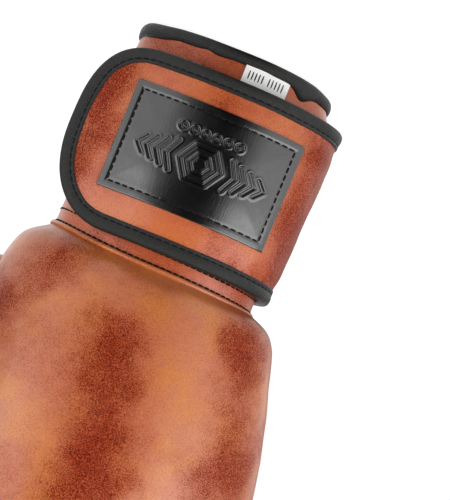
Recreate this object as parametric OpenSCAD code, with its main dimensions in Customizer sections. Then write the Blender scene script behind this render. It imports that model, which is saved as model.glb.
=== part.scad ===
// Boxing glove for the left hand, 10 ounce, with a hook-and-loop wrist strap.
// It stands on its cuff rim. +Z runs from the cuff to the knuckles, -Y is the back of the hand,
// +Y the palm and +X the thumb side. The origin is the centre of the cuff rim. Sizes are in mm.
// Angles round the cuff and the fist count from the thumb side (0) by the palm (90), the little
// finger side (180) and the back of the hand (270).

/* [Cuff] */
// Height of the cuff, from its rim to the wrist seam
cuff_h = 98; // [90:1:104]
// Width of the cuff at the rim
rim_w = 83; // [82:1:84]
// Width of the cuff at the wrist seam
seam_w = 91; // [90:1:92]
// Depth of the cuff at the rim, back to palm
rim_d = 65; // [64:1:66]
// Depth of the cuff at the wrist seam
seam_d = 67; // [66:1:68]
// Thickness of the cuff's foam
cuff_foam_t = 6.6; // [5:0.2:7]

/* [Fist] */
// Height of the fist, from the wrist seam to the knuckles
fist_h = 182; // [174:1:192]
// Reach of the padding on the little finger side, from the glove's axis
little_side_w = 79; // [74:1:82]
// Reach of the padding on the thumb side, from the glove's axis
thumb_side_w = 62; // [60:1:66]
// Reach of the padding over the back of the hand, from the glove's axis
back_d = 53; // [48:1:58]
// Reach of the curled finger end, from the glove's axis
finger_d = 52; // [48:1:56]
// Height of the hand pocket above the wrist seam
pocket_h = 146; // [140:1:150]

/* [Strap] */
// Height of the strap, edge to edge
strap_h = 79; // [72:1:80]
// Height of the strap's lower edge above the rim
strap_z = 14; // [12:1:15]
// Width of the black edge binding
binding_w = 6.5; // [5:0.5:8]
// Length of the flat free end past the thumb side of the cuff's back
free_end = 38; // [34:1:40]

/* [Patch] */
// Length of the leather patch round the strap
patch_l = 76; // [70:1:84]
// Height of the leather patch
patch_h = 47; // [40:1:50]

/* [Thumb] */
// Length of the thumb
thumb_l = 104; // [98:1:106]
// Width of the thumb, side to side
thumb_w = 42; // [38:1:42]
// Depth of the thumb, back to palm
thumb_d = 50; // [44:1:50]

/* [Materials] */
// Thickness of the shell leather
leather_t = 1.5; // [1.2:0.1:1.8]
// Thickness of the lining cloth
lining_t = 0.9; // [0.6:0.1:1]

/* [Motion] */
// Bend of the wrist towards the palm that the wrist gap leaves room for
wrist_flex = 12; // [8:1:14]
// Bend of the wrist towards the back that the wrist gap leaves room for
wrist_extend = 5; // [3:1:6]

/* [Hidden] */

gap = 0.2;            // clearance left between neighbouring layers
oval_n = 2.3;         // exponent of the cuff's oval
fist_n = 2.35;        // exponent of the fist's cross-section
thumb_n = 2.1;        // exponent of the thumb's cross-section

brown = [0.68, 0.36, 0.22];
black = [0.17, 0.17, 0.17];
thread = [0.06, 0.06, 0.06];
foam_grey = [0.55, 0.56, 0.58];
cloth = [0.12, 0.12, 0.13];
cream = [0.90, 0.86, 0.78];
white = [0.94, 0.94, 0.92];

// ---------------------------------------------------------------- helper functions

function mix(a, b, k) = a + (b - a) * k;
function clamp01(v) = max(0, min(1, v));
function smooth(v) = let(k = clamp01(v)) k * k * (3 - 2 * k);
function ease(z, reach) = 1 - exp(-z / reach);
function spow(v, p) = sign(v) * pow(abs(v), p);
function unit(v) = v / norm(v);
// A point of an oval with half axes w and d and exponent n
function oval(a, w, d, n) = [w * spow(cos(a), 2 / n), d * spow(sin(a), 2 / n)];
function oval_normal(a, w, d, n) =
    unit([spow(cos(a), 2 - 2 / n) / w, spow(sin(a), 2 - 2 / n) / d]);
// The point that lies a share and a further distance of the way from p to q
function between(p, q, share, more) = p + unit(q - p) * (norm(q - p) * share + more);

// ---------------------------------------------------------------- shells on a grid

// A closed thick sheet. outer and inner are rows of points, the same size, whose columns run all
// the way round. keep(r, c) says which cells hold material. tip and foot, if given, are the pairs
// of points that close the top and the bottom row.
module grid_shell(outer, inner, keep, tip = undef, foot = undef) {
    rows = len(outer);
    cols = len(outer[0]);
    function id(layer, r, c) = (layer * rows + r) * cols + c % cols;
    function held(r, c) = r >= 0 && r < rows - 1 && keep(r, (c + cols) % cols);
    tip_id = 2 * rows * cols;
    foot_id = tip_id + 2;
    points = concat(
        [for (row = outer) for (p = row) p], [for (row = inner) for (p = row) p],
        is_undef(tip) ? [[0, 0, 0], [0, 0, 0]] : tip, is_undef(foot) ? [] : foot);
    skin = [for (r = [0:rows - 2]) for (c = [0:cols - 1]) if (held(r, c)) each [
        [id(0, r, c), id(0, r + 1, c), id(0, r + 1, c + 1)],
        [id(0, r, c), id(0, r + 1, c + 1), id(0, r, c + 1)],
        [id(1, r, c), id(1, r + 1, c + 1), id(1, r + 1, c)],
        [id(1, r, c), id(1, r, c + 1), id(1, r + 1, c + 1)]]];
    // A wall from the outer edge p-q to the inner edge under it
    function wall(r0, c0, r1, c1) = [
        [id(0, r0, c0), id(0, r1, c1), id(1, r1, c1)],
        [id(0, r0, c0), id(1, r1, c1), id(1, r0, c0)]];
    walls = [for (r = [0:rows - 2]) for (c = [0:cols - 1]) if (held(r, c)) each concat(
        held(r - 1, c) || (r == 0 && !is_undef(foot)) ? [] : wall(r, c, r, c + 1),
        held(r + 1, c) || (r == rows - 2 && !is_undef(tip)) ? [] : wall(r + 1, c + 1, r + 1, c),
        held(r, c - 1) ? [] : wall(r + 1, c, r, c),
        held(r, c + 1) ? [] : wall(r, c + 1, r + 1, c + 1))];
    // The fan of faces from row r to the end point called end. up is true at the tip.
    function fan(r, cell, end, up) = [for (c = [0:cols - 1]) if (held(cell, c))
        let(a = up ? c : c + 1, b = up ? c + 1 : c,
            oa = id(0, r, a), ob = id(0, r, b), ia = id(1, r, a), ib = id(1, r, b))
        each concat(
            [[oa, end, ob], [ib, end + 1, ia]],
            held(cell, up ? c - 1 : c + 1) ? [] : [[oa, ia, end + 1], [oa, end + 1, end]],
            held(cell, up ? c + 1 : c - 1) ? [] : [[ob, end + 1, ib], [ob, end, end + 1]])];
    tip_faces = is_undef(tip) ? [] : fan(rows - 1, rows - 2, tip_id, true);
    foot_faces = is_undef(foot) ? [] : fan(0, 0, foot_id, false);
    polyhedron(points, concat(skin, walls, tip_faces, foot_faces));
}

// A round cord of radius r along a path of points
module cord(path, r, closed = false) {
    sides = 6;
    n = len(path);
    last = closed ? n - 1 : n - 2;
    function next(i) = closed ? path[(i + 1) % n] : path[min(i + 1, n - 1)];
    function previous(i) = closed ? path[(i + n - 1) % n] : path[max(i - 1, 0)];
    rings = [for (i = [0:n - 1])
        let(along = unit(next(i) - previous(i)),
            side = unit(cross(along, abs(along.z) < 0.9 ? [0, 0, 1] : [0, 1, 0])),
            up = cross(side, along))
        for (k = [0:sides - 1]) path[i] + r * (side * cos(k * 360 / sides) + up * sin(k * 360 / sides))];
    tube = [for (i = [0:last]) for (k = [0:sides - 1])
        let(a = i * sides + k, b = i * sides + (k + 1) % sides,
            c = ((i + 1) % n) * sides + k, d = ((i + 1) % n) * sides + (k + 1) % sides)
        each [[a, b, d], [a, d, c]]];
    ends = closed ? [] : [[for (k = [sides - 1:-1:0]) k], [for (k = [0:sides - 1]) (n - 1) * sides + k]];
    polyhedron(rings, concat(tube, ends));
}

// ---------------------------------------------------------------- cuff

cuff_angles = [for (i = [0:35]) i * 10];
cuff_rows = [0, 0.2, 0.55, 0.85, 1];
slit_from = 80;       // the slit on the palm side, in degrees
slit_to = 100;
slit_top = 0.85;      // share of the cuff's height that the slit reaches
rim_lift = 1.8;       // the cuff's layers end this far above the rim, inside the binding

function cuff_w(z) = mix(rim_w, seam_w, clamp01(z / cuff_h)) / 2;
function cuff_d(z) = mix(rim_d, seam_d, clamp01(z / cuff_h)) / 2;
function cuff_ring(z, inset) =
    [for (a = cuff_angles) let(p = oval(a, cuff_w(z) - inset, cuff_d(z) - inset, oval_n)) [p.x, p.y, z]];
function cuff_grid(inset, bottom, top) = [for (k = cuff_rows) cuff_ring(mix(bottom, top, k), inset)];
function in_slit(r, c) =
    cuff_angles[c] >= slit_from && cuff_angles[c] < slit_to && cuff_rows[r] < slit_top;
function in_sector(c, from, to) = cuff_angles[c] >= from && cuff_angles[c] < to;

// One layer of the cuff's wall between two insets, with the slit left open
module cuff_layer(from, to) {
    grid_shell(cuff_grid(from, rim_lift, cuff_h), cuff_grid(to, rim_lift, cuff_h),
        function (r, c) !in_slit(r, c));
}

cuff_wall = leather_t + gap + cuff_foam_t + gap + lining_t;

module cuff_shell() color(brown) cuff_layer(0, leather_t);
module cuff_foam() color(foam_grey) cuff_layer(leather_t + gap, leather_t + gap + cuff_foam_t);
module cuff_lining() color(cloth) cuff_layer(cuff_wall - lining_t, cuff_wall);

// Elastic strip behind the slit, inside the lining
module slit_gusset() color(black) {
    gusset_t = 1.1;
    inset = cuff_wall + gap;
    grid_shell(cuff_grid(inset, 9, cuff_h - 6), cuff_grid(inset + gusset_t, 9, cuff_h - 6),
        function (r, c) in_sector(c, slit_from - 10, slit_to + 10));
}

lip_t = 1.1;          // thickness of the binding's cloth
rim_lip = 5.4;        // height of the binding on the outside of the cuff
module cuff_oval(z, grow, n = 72) {
    polygon([for (i = [0:n - 1]) oval(i * 360 / n, cuff_w(z) + grow, cuff_d(z) + grow, oval_n)]);
}

// Binding folded over the rim, open at the slit. Its flat foot is what the glove stands on.
module cuff_binding() color(black) {
    inner_lip = 5;
    wall = cuff_wall + gap;
    difference() {
        union() {
            linear_extrude(rim_lip) cuff_oval(rim_lip, gap + lip_t);
            linear_extrude(rim_lift - gap) cuff_oval(rim_lip, gap + lip_t);
        }
        translate([0, 0, rim_lift - gap]) linear_extrude(rim_lip) cuff_oval(rim_lip, gap);
        translate([0, 0, -1]) linear_extrude(3) cuff_oval(0, -wall - lip_t);
        slit_cut();
    }
    difference() {
        translate([0, 0, rim_lift - gap]) linear_extrude(inner_lip - rim_lift) cuff_oval(0, -wall);
        translate([0, 0, -1]) linear_extrude(rim_lip + 2) cuff_oval(0, -wall - lip_t);
        slit_cut();
    }
}

module slit_cut() {
    edge = oval(slit_from, cuff_w(0), cuff_d(0), oval_n).x + 0.6;
    translate([-edge, 5, -1]) cube([2 * edge, 60, 30]);
}

// Soft side of the hook-and-loop closure, sewn to the back of the cuff
loop_t = 1.2;
module loop_panel() color(black) {
    bottom = strap_z + 14;
    top = strap_top - 8;
    grid_shell(cuff_grid(-gap - loop_t, bottom, top), cuff_grid(-gap, bottom, top),
        function (r, c) in_sector(c, 240, 310));
}

// Woven size label, tucked under the rim binding and the strap
module size_label() color(white) {
    label_t = 0.4;
    off = 0.3;
    bottom = rim_lip + off;
    top = strap_z + 13;
    grid_shell(cuff_grid(-off - label_t, bottom, top), cuff_grid(-off, bottom, top),
        function (r, c) in_sector(c, 240, 270));
}

// Piped seam where the fist is sewn to the cuff
welt_r = 1.3;
module wrist_welt() color(brown) {
    below_seam = 0.4;
    off = 0.25;
    cord(cuff_ring(cuff_h - welt_r - below_seam, -welt_r - off), welt_r, closed = true);
}

// Row of stitches round the cuff under the wrist seam
module wrist_stitches() color(thread) {
    below_seam = 5;
    pitch = 8;
    z = cuff_h - below_seam;
    for (a = [135:pitch:395])
        let(p = oval(a, cuff_w(z), cuff_d(z), oval_n), n = oval_normal(a, cuff_w(z), cuff_d(z), oval_n))
        stitch([p.x, p.y, z], n, 0, 0.1);
}

// One stitch lying on a surface with outward normal n, turned by tilt from the horizontal
module stitch(p, n, tilt, lift) {
    stitch_l = 3;
    stitch_w = 0.7;
    stitch_t = 0.5;
    translate([p.x + n.x * lift, p.y + n.y * lift, p.z]) rotate([0, 0, atan2(n.y, n.x)])
        rotate([tilt, 0, 0]) translate([0, -stitch_l / 2, -stitch_w / 2])
        cube([stitch_t, stitch_l, stitch_w]);
}

// ---------------------------------------------------------------- strap

strap_in_w = 47.0;    // half width and half depth of the strap's inner face
strap_in_d = 37;
strap_lining_t = 0.9;
strap_pad_t = 1.7;
strap_t = strap_lining_t + gap + strap_pad_t + gap + leather_t;
binding_t = 0.8;      // how far the binding stands proud of the strap's faces
strap_top = strap_z + strap_h;
hinge_off = strap_t + binding_t + 0.1;

anchor_from = 48;     // stretches of the strap, by angle round the cuff
palm_hinge = 66;
corner_hinge = 139;
back_hinge = 213;
wrap_end = 288;
split = 0.35;         // half the gap between two stretches, in degrees
edge_in = 1.3;        // the strap's layers end this far inside the binding's edge
end_run = 32;         // length of the free end's curve
end_n = 2.5;          // exponent of the free end's curve

// A station of the strap is its point on the inner face and its outward normal. Past wrap_end the
// free end runs straight on.
function station(a) =
    [oval(a, strap_in_w, strap_in_d, oval_n), oval_normal(a, strap_in_w, strap_in_d, oval_n)];
function stations(from, to, step = 5) =
    let(n = ceil((to - from) / step)) [for (i = [0:n]) station(mix(from, to, i / n))];
function run_on(length, parts = 3) =
    let(s = station(wrap_end), along = [-s[1].y, s[1].x])
    [for (i = [1:parts]) [s[0] + along * length * i / parts, s[1]]];
function front_stations() = concat(stations(back_hinge + split, wrap_end), run_on(free_end));

// A wall along some stations, between two distances from the strap's inner face
module strap_wall(line, from, to, bottom, top) {
    translate([0, 0, bottom]) linear_extrude(top - bottom) polygon(concat(
        [for (s = line) s[0] + s[1] * to],
        [for (i = [len(line) - 1:-1:0]) line[i][0] + line[i][1] * from]));
}

// The outline of the front stretch seen from the back of the hand, set in by an amount
module front_outline(inset) {
    tip_x = run_on(free_end)[2][0].x;
    half_h = strap_h / 2 - inset;
    past_side = -80;
    curve = [for (a = [-90:6:90])
        let(p = oval(a, end_run - inset, half_h, end_n)) [tip_x - end_run + p.x, p.y]];
    translate([0, 60, strap_z + strap_h / 2]) rotate([90, 0, 0]) linear_extrude(120)
        polygon(concat([[past_side, half_h], [past_side, -half_h]], curve));
}

module strap_layer(line, from, to, rounded) {
    if (rounded) intersection() {
        strap_wall(line, from, to, strap_z, strap_top);
        front_outline(edge_in);
    }
    else strap_wall(line, from, to, strap_z + edge_in, strap_top - edge_in);
}

// Binding folded over the strap's edge, with a channel that holds the strap's layers
module strap_binding(line, rounded) {
    if (rounded) difference() {
        intersection() {
            strap_wall(line, -binding_t, strap_t + binding_t, strap_z, strap_top);
            front_outline(0);
        }
        intersection() {
            strap_wall(line, -3, strap_t + 3, strap_z - 1, strap_top + 1);
            front_outline(binding_w);
        }
        intersection() {
            strap_wall(line, -0.1, strap_t + 0.1, strap_z, strap_top);
            front_outline(edge_in - 0.1);
        }
    }
    else for (edge = [[strap_z, strap_z + binding_w], [strap_top - binding_w, strap_top]]) difference() {
        strap_wall(line, -binding_t, strap_t + binding_t, edge[0], edge[1]);
        strap_wall(line, -0.1, strap_t + 0.1, strap_z + edge_in - 0.1, strap_top - edge_in + 0.1);
    }
}

shell_from = strap_t - leather_t;
pad_from = strap_lining_t + gap;
palm_line = stations(palm_hinge + split, corner_hinge - split);
side_line = stations(corner_hinge + split, back_hinge - split);

module strap_shell_palm() color(brown) strap_layer(palm_line, shell_from, strap_t, false);
module strap_pad_palm() color(foam_grey) strap_layer(palm_line, pad_from, pad_from + strap_pad_t, false);
module strap_lining_palm() color(cloth) strap_layer(palm_line, 0, strap_lining_t, false);
module strap_binding_palm() color(black) strap_binding(palm_line, false);
module strap_shell_side() color(brown) strap_layer(side_line, shell_from, strap_t, false);
module strap_pad_side() color(foam_grey) strap_layer(side_line, pad_from, pad_from + strap_pad_t, false);
module strap_lining_side() color(cloth) strap_layer(side_line, 0, strap_lining_t, false);
module strap_binding_side() color(black) strap_binding(side_line, false);
module strap_shell_front() color(brown) strap_layer(front_stations(), shell_from, strap_t, true);
module strap_pad_front() color(foam_grey)
    strap_layer(front_stations(), pad_from, pad_from + strap_pad_t, true);
module strap_lining_front() color(cloth) strap_layer(front_stations(), 0, strap_lining_t, true);
module strap_binding_front() color(black) strap_binding(front_stations(), true);

// The strap's end that is sewn to the cuff beside the slit
module strap_anchor() color(brown) {
    sink = 2.2;
    inset = 2;
    line = stations(anchor_from, palm_hinge - split);
    strap_wall(line, -sink, strap_t, strap_z + inset, strap_top - inset);
}

// Box stitch that holds the strap's end
module anchor_stitches() color(thread) {
    inset = 9;
    pitch = 5;
    for (a = [anchor_from + 3, palm_hinge - 4]) for (z = [strap_z + inset:pitch:strap_top - inset])
        let(s = station(a), p = s[0] + s[1] * strap_t) stitch([p.x, p.y, z], s[1], 90, 0.1);
}

// Rough side of the closure, sewn inside the front stretch
module hook_panel() color(black) {
    hook_t = 1.1;
    off = 0.15;
    strap_wall(stations(242, 284), -off - hook_t, -off, strap_z + 16, strap_top - 11);
}

// Blank leather patch on the outside of the front stretch
patch_t = 1.2;
patch_face = strap_t + 0.1 + patch_t;
patch_from = 219;
patch_z = strap_z + (strap_h - patch_h) / 2;
function patch_line() = concat(stations(patch_from, wrap_end), run_on(free_end, 13));
// Distance along the strap's outer face to each patch station
function walked(line, i) = i == 0 ? 0 : walked(line, i - 1)
    + norm((line[i][0] + line[i][1] * strap_t) - (line[i - 1][0] + line[i - 1][1] * strap_t));
function patch_part() = let(line = patch_line())
    [for (i = [0:len(line) - 1]) if (walked(line, i) <= patch_l + 1) line[i]];
module leather_patch() color(black)
    strap_wall(patch_part(), patch_face - patch_t, patch_face, patch_z, patch_z + patch_h);

// Stitches set in from the edge of the patch
module patch_stitches() color(thread) {
    line = patch_part();
    inset = 3.5;
    pitch = 4.5;
    for (i = [1:len(line) - 2]) for (z = [patch_z + inset, patch_z + patch_h - inset])
        let(p = line[i][0] + line[i][1] * patch_face) stitch([p.x, p.y, z], line[i][1], 0, 0.1);
    for (i = [1, len(line) - 2]) for (z = [patch_z + inset + pitch:pitch:patch_z + patch_h - inset - 3])
        let(p = line[i][0] + line[i][1] * patch_face) stitch([p.x, p.y, z], line[i][1], 90, 0.1);
}

// Stitches along the binding of the front stretch
module strap_stitches() color(thread) {
    row = 4.6;
    for (a = [back_hinge + 6:5:wrap_end]) for (z = [strap_z + row, strap_top - row])
        let(s = station(a), p = s[0] + s[1] * (strap_t + binding_t)) stitch([p.x, p.y, z], s[1], 0, 0.1);
}

// ---------------------------------------------------------------- fist

seam_thumb = 48;      // the palm panel's side seams, in degrees
seam_little = 156;
seam_slot = 0.5;      // half the slot left for a side seam, in degrees
palm_steps = 8;
back_steps = 17;
fist_angles = concat(
    [for (i = [0:palm_steps]) mix(seam_thumb + seam_slot, seam_little - seam_slot, i / palm_steps)],
    [for (i = [0:back_steps]) mix(seam_little + seam_slot, 360 + seam_thumb - seam_slot, i / back_steps)]);
dome_z = 90;          // the rounded end starts at this height above the seam
low_rows = [0, 3, 8, 15, 22, 30, 42, 56, 70, 83, 84];
dome_rows = [0, 14, 28, 42, 55, 67, 78];
fist_rows = len(low_rows) + len(dome_rows);
finger_row = 9;       // the row under the finger end's seam

// The dome's rows are steps of an angle, which set both the height and the narrowing
function dome_rise(t) = pow(sin(t), 2 / fist_n);
function dome_narrow(t) = pow(cos(t), 2 / fist_n);
function row_z(r) = r < len(low_rows) ? low_rows[r]
    : mix(dome_z, fist_h, dome_rise(dome_rows[r - len(low_rows)]));
function row_scale(r) = r < len(low_rows) ? 1 : dome_narrow(dome_rows[r - len(low_rows)]);

// The recess that the thumb lies in: how deep it is, by height and by angle
recess = 16.5;
function recess_at(z, a) = let(turn = a > 180 ? a - 360 : a)
    recess * smooth((z - 16) / 18) * (1 - smooth((z - 126) / 24)) * smooth((turn + 32) / 30)
    * (1 - smooth((turn - 20) / 30));
function little_reach(z) = let(grown = little_side_w - seam_w / 2 - 9.5)
    seam_w / 2 + 9.5 * ease(z, 5) + grown * sin(90 * clamp01(z / 105));
function thumb_reach(z, a) =
    seam_w / 2 + 9.5 * ease(z, 5) + (thumb_side_w - seam_w / 2 - 9.5) * ease(z, 16) - recess_at(z, a);
function back_reach(z) = let(grown = back_d - seam_d / 2 - 8)
    seam_d / 2 + 8 * ease(z, 6) + grown * sin(90 * clamp01(z / 100));
function palm_reach(z) =
    seam_d / 2 + 3 * ease(z, 6) - 4 * exp(-pow((z - 58) / 24, 2))
    + (finger_d - seam_d / 2 - 3) * smooth((z - 76) / 30);

function fist_point(a, z, narrow, little, thumb, back, palm) =
    let(p = oval(a, (cos(a) > 0 ? thumb : little) * narrow, (sin(a) > 0 ? palm : back) * narrow, fist_n))
    [p.x, p.y, cuff_h + z + wrist_gap(z, p.y)];
// The wedge at the wrist that lets the fist bend on the cuff
function wrist_gap(z, y) =
    (1 + abs(y) * tan(y > 0 ? wrist_flex : wrist_extend)) * (1 - clamp01(z / 28));
function outside_at(z, narrow, a) =
    fist_point(a, z, narrow, little_reach(z), thumb_reach(z, a), back_reach(z), palm_reach(z));
function fist_outside(r, a) = outside_at(row_z(r), row_scale(r), a);
// The hand pocket, which is the inside of the lining
pocket_w = rim_w / 2 - cuff_wall;
pocket_d = rim_d / 2 - cuff_wall;
function pocket_at(z, narrow, a) =
    fist_point(a, z, narrow, pocket_w + 16 * ease(z, 14), pocket_w + 3 * ease(z, 14),
        pocket_d + 0.5, pocket_d + 1);
function pocket_point(r, a) = pocket_at(row_z(r) * pocket_h / fist_h, row_scale(r), a);

// A surface inside the padding, at a share of its thickness and a further distance
function fist_grid(share, more) = [for (r = [0:fist_rows - 1])
    [for (a = fist_angles) between(fist_outside(r, a), pocket_point(r, a), share, more)]];
function fist_tip(share, more) =
    between([0, 0, cuff_h + fist_h], [0, 0, cuff_h + pocket_h], share, more);
function on_palm(r, c) = c < palm_steps && r < finger_row;
function in_side_slot(c) = c == palm_steps || c == len(fist_angles) - 1;
function on_back(r, c) = r > finger_row || (c > palm_steps && !in_side_slot(c));
// The way through to the thumb, on the thumb side of the fist
function at_thumb(r, c) = let(a = fist_angles[c]) r >= 5 && r < 7 && (a >= 345 || a < 20);

module fist_layer(from, to, keep, capped) {
    grid_shell(fist_grid(from[0], from[1]), fist_grid(to[0], to[1]), keep,
        tip = capped ? [fist_tip(from[0], from[1]), fist_tip(to[0], to[1])] : undef);
}

back_keep = function (r, c) on_back(r, c) && !at_thumb(r, c);
palm_keep = function (r, c) on_palm(r, c);
lining_keep = function (r, c) !at_thumb(r, c);
half = gap / 2;

module back_panel() color(brown) fist_layer([0, 0], [0, leather_t], back_keep, true);
module palm_panel() color(brown) fist_layer([0, 0], [0, leather_t], palm_keep, false);
module outer_foam() color(foam_grey) fist_layer([0, leather_t + gap], [0.4, -half], back_keep, true);
module middle_foam() color(cream) fist_layer([0.4, half], [0.7, -half], back_keep, true);
module inner_foam() color(foam_grey)
    fist_layer([0.7, half], [1, -lining_t - gap], back_keep, true);
module palm_foam() color(cream)
    fist_layer([0, leather_t + gap], [1, -lining_t - gap], palm_keep, false);
module hand_lining() color(cloth) fist_layer([1, -lining_t], [1, 0], lining_keep, true);

// Roll across the palm that the fingers close on
module grip_bar() color(cloth) {
    bar_r = 7;
    bar_l = 50;
    off_wall = 4;
    bar_z = cuff_h + 86;
    translate([-bar_l / 2 - off_wall, pocket_d - bar_r - off_wall, bar_z]) rotate([0, 90, 0])
        cylinder(bar_l, r = bar_r, $fn = 48);
}

// Piping along the seam between the palm panel and the rest of the shell
module palm_welt() {
    r = 1.2;
    lift = 0.9;
    top_z = 82;
    function over(z, a) =
        let(p = outside_at(z, 1, a), q = pocket_at(z, 1, a), out = unit([p.x - q.x, p.y - q.y, 0]))
        p + out * (r + lift);
    side_z = [6, 12, 22, 34, 46, 58, 70, 78];
    thumb_side = [for (z = side_z) over(z, seam_thumb)];
    top_edge = [for (i = [0:10]) over(top_z, mix(seam_thumb, seam_little, i / 10))];
    little_side = [for (i = [len(side_z) - 1:-1:0]) over(side_z[i], seam_little)];
    color(brown) cord(concat(thumb_side, top_edge, little_side), r);
}

// ---------------------------------------------------------------- thumb

thumb_x = 63;         // the foot of the thumb's axis, which leans out by thumb_lean
thumb_y = 15;
thumb_z = cuff_h + 24;
thumb_lean = 6;
thumb_wall = 7;       // leather, foam and lining together
thumb_rows = [-80, -66, -50, -34, -16, 4, 24, 42, 60, 76];
thumb_from = 50;      // the inner panel's seams, in degrees
thumb_to = 230;
thumb_slot = 0.6;     // half the slot left for each seam
thumb_half = 8;       // columns to each panel
thumb_angles = concat(
    [for (i = [0:thumb_half]) mix(thumb_from + thumb_slot, thumb_to - thumb_slot, i / thumb_half)],
    [for (i = [0:thumb_half]) mix(thumb_to + thumb_slot, thumb_from + 360 - thumb_slot, i / thumb_half)]);

function thumb_point(t, a, inset) =
    let(k = 2 / thumb_n, narrow = pow(cos(t), k),
        p = oval(a, (thumb_w / 2 - inset) * narrow, (thumb_d / 2 - inset) * narrow, thumb_n))
    [p.x, p.y, thumb_l / 2 + (thumb_l / 2 - inset) * spow(sin(t), k)];
function thumb_grid(inset) = [for (t = thumb_rows) [for (a = thumb_angles) thumb_point(t, a, inset)]];
function thumb_end(inset, side) = [0, 0, thumb_l / 2 + side * (thumb_l / 2 - inset)];

module thumb_layer(from, to, keep)
    translate([thumb_x, thumb_y, thumb_z]) rotate([0, thumb_lean, 0])
    grid_shell(thumb_grid(from), thumb_grid(to), keep,
        tip = [thumb_end(from, 1), thumb_end(to, 1)], foot = [thumb_end(from, -1), thumb_end(to, -1)]);
// The window on the thumb's inner side, where it opens into the hand pocket
function thumb_window(r, c) = r >= 2 && r < 4 && c >= 5 && c < 7;

module thumb_outer_panel() color(brown)
    thumb_layer(0, leather_t, function (r, c) c > thumb_half && c < 2 * thumb_half + 1);
module thumb_inner_panel() color(brown)
    thumb_layer(0, leather_t, function (r, c) c < thumb_half && !thumb_window(r, c));
module thumb_foam() color(foam_grey)
    thumb_layer(leather_t + gap, thumb_wall - lining_t - gap, function (r, c) !thumb_window(r, c));
module thumb_lining() color(cloth)
    thumb_layer(thumb_wall - lining_t, thumb_wall, function (r, c) !thumb_window(r, c));

// Leather tie that holds the thumb to the fist
module thumb_tie() color(brown) {
    tie_l = 25;
    tie_h = 14;
    tie_t = 1.8;
    tie_z = cuff_h + 100;
    translate([thumb_x - 15.5, thumb_y + 22.4, tie_z]) cube([tie_l, tie_t, tie_h]);
}

// ---------------------------------------------------------------- nodes

back_panel();
palm_panel();
outer_foam();
middle_foam();
inner_foam();
palm_foam();
hand_lining();
grip_bar();
palm_welt();
cuff_shell();
cuff_foam();
cuff_lining();
slit_gusset();
cuff_binding();
loop_panel();
size_label();
wrist_welt();
wrist_stitches();
strap_anchor();
anchor_stitches();
strap_shell_palm();
strap_pad_palm();
strap_lining_palm();
strap_binding_palm();
strap_shell_side();
strap_pad_side();
strap_lining_side();
strap_binding_side();
strap_shell_front();
strap_pad_front();
strap_lining_front();
strap_binding_front();
hook_panel();
leather_patch();
patch_stitches();
strap_stitches();
thumb_outer_panel();
thumb_inner_panel();
thumb_foam();
thumb_lining();
thumb_tie();
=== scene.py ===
"""A left-hand boxing glove of antique leather, standing on its cuff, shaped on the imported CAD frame."""

import math
from contextlib import contextmanager

import bmesh
import bpy
import numpy as np
from mathutils import Matrix, Vector, noise
from mathutils.bvhtree import BVHTree


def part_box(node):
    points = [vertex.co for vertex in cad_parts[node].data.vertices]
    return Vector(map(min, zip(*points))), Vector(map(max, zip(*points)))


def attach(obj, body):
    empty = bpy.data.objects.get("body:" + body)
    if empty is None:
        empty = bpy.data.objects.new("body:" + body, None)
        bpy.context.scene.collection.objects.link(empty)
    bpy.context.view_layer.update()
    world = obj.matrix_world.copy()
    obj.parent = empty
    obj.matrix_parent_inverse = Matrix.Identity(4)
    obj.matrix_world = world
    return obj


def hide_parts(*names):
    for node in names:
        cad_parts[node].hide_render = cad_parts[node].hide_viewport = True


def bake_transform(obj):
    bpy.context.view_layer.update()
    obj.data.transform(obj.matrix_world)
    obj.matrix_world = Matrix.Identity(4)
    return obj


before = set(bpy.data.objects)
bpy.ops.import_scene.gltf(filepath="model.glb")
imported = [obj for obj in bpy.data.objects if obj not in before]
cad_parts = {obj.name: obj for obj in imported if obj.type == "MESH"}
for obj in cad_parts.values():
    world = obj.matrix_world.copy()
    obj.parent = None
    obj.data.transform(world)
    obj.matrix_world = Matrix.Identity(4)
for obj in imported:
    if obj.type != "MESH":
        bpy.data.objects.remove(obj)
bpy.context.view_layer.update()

# Every length below is in millimetres, and meshes are made in metres.
# Angles round the glove: 0 thumb side (+X), 90 palm (+Y), 180 little finger, 270 back of the hand.
MM = 0.001


# ---------------- sizes, from the CAD frame


def box_mm(node):
    """Lowest and highest corner of a CAD node, in millimetres."""
    low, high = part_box(node)
    return np.array(low) / MM, np.array(high) / MM


cuff_high = box_mm("cuff_shell")[1]
rim_high = box_mm("cuff_binding")[1]
strap_low, strap_high = box_mm("strap_binding_front")
lining_low = box_mm("strap_lining_side")[0]
patch_low, patch_high = box_mm("leather_patch")
fist_low, fist_high = box_mm("back_panel")
thumb_high = box_mm("thumb_foam")[1]

# half width and half depth of the wrist seam, the rim and the strap's inner face
SEAM_W, SEAM_D, SEAM_Z = cuff_high
RIM_W, RIM_D = rim_high[:2] - 1.3
STRAP_W, STRAP_D = -lining_low[0] - 0.9, 37.0
OVAL, FIST_OVAL = 2.3, 2.35  # exponents of the cuff's and the fist's ovals

STRAP_T = 4.5  # the strap's thickness
STRAP_Z0, STRAP_Z1 = strap_low[2], strap_high[2]
STRAP_MID = (STRAP_Z0 + STRAP_Z1) / 2
STRAP_H = STRAP_Z1 - STRAP_Z0
FIST_H = fist_high[2] - SEAM_Z


# ---------------- curves and meshes


def mix(a, b, k):
    """a at k = 0, b at k = 1."""
    return a + (b - a) * k


def smooth(v):
    """0 up to v = 0, 1 from v = 1, and a soft step between."""
    k = np.clip(v, 0, 1)
    return k * k * (3 - 2 * k)


def ease(z, reach):
    """Rises from 0 at z = 0 towards 1, most of it within reach."""
    return 1 - np.exp(-np.maximum(z, 0) / reach)


def hump(v, middle, width):
    """1 at v = middle, falling softly to nothing a few widths away."""
    return np.exp(-(((v - middle) / width) ** 2))


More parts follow.
